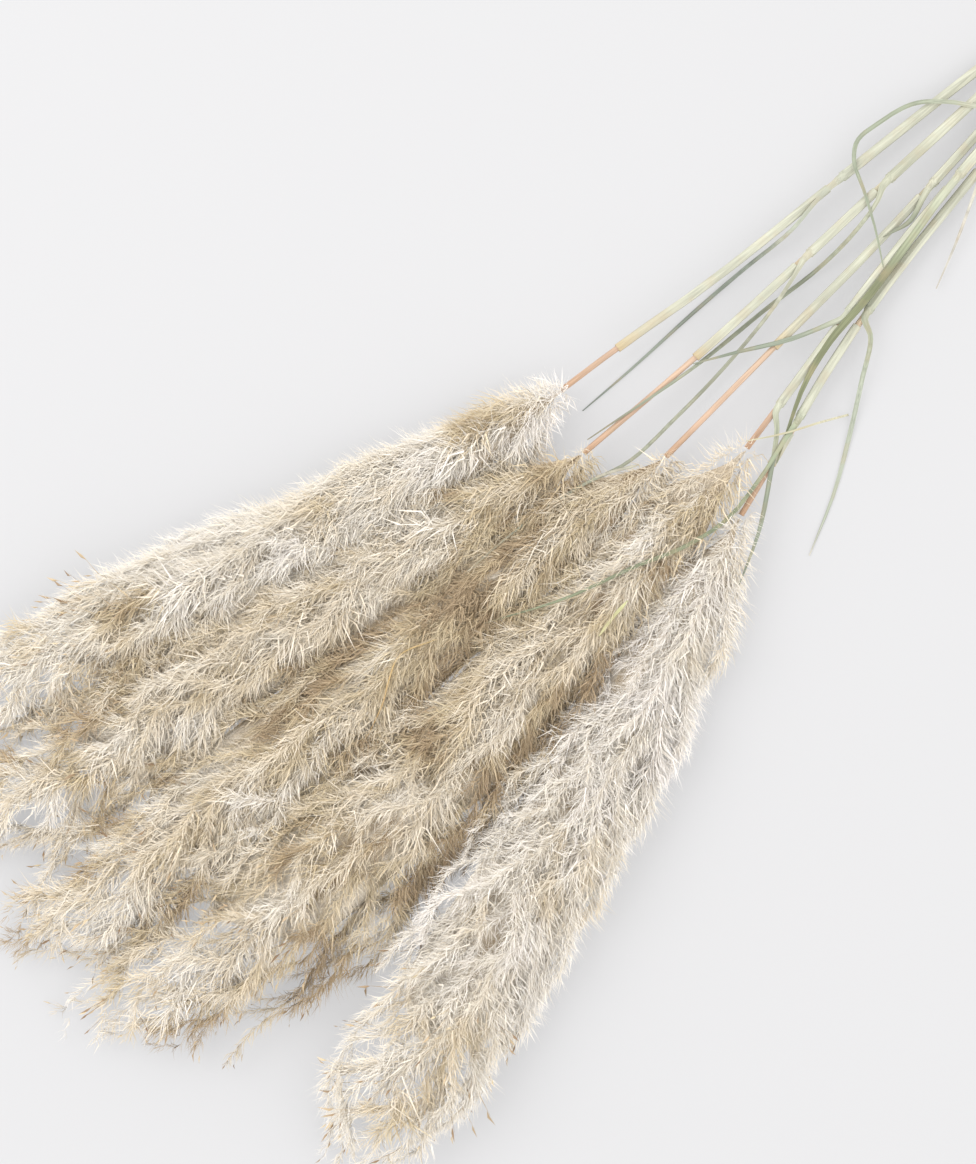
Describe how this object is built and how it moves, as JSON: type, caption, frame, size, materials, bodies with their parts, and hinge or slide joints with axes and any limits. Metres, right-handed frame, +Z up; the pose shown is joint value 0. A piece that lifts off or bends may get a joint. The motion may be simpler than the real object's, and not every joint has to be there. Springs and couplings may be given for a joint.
{
  "type": "bundle of pampas grass",
  "caption": "Bundle of dried pampas grass lying on its side: long fluffy plumes on slender stems with sheathing leaves, fanned out from a twine tie near the cut ends.",
  "frame": {"origin": "centre of the bounding box's bottom face, on the surface that the bundle lies on", "axes": "+X along the bundle, from the plume tips towards the cut stem ends; +Y across the fan; +Z up"},
  "size_m": [1.1906, 0.4932, 0.062],
  "materials": {
    "stem": "dry, smooth, straw to peach",
    "sheath": "dry, satin, fine lengthwise veins",
    "leaf": "dry, satin, fine lengthwise veins",
    "strip": "dry, satin",
    "plume": "soft, fluffy, matt",
    "twine": "twisted plant fibre, matt"
  },
  "bodies": {
    "root": {"stem_01": "stem", "stem_02": "stem", "stem_03": "stem", "stem_04": "stem", "stem_05": "stem", "leaf_01": "leaf", "leaf_02": "leaf", "leaf_03": "leaf", "leaf_04": "leaf", "leaf_05": "leaf", "leaf_06": "leaf", "leaf_07": "leaf", "leaf_08": "leaf", "leaf_09": "leaf", "leaf_10": "leaf", "leaf_11": "leaf", "sheath_01": "sheath", "sheath_02": "sheath", "sheath_03": "sheath", "sheath_05": "sheath", "leaf_strip": "strip", "plume_01": "plume", "plume_02": "plume", "plume_03": "plume", "plume_04": "plume", "plume_05": "plume", "twine_tie": "twine"}
  },
  "joints": []
}
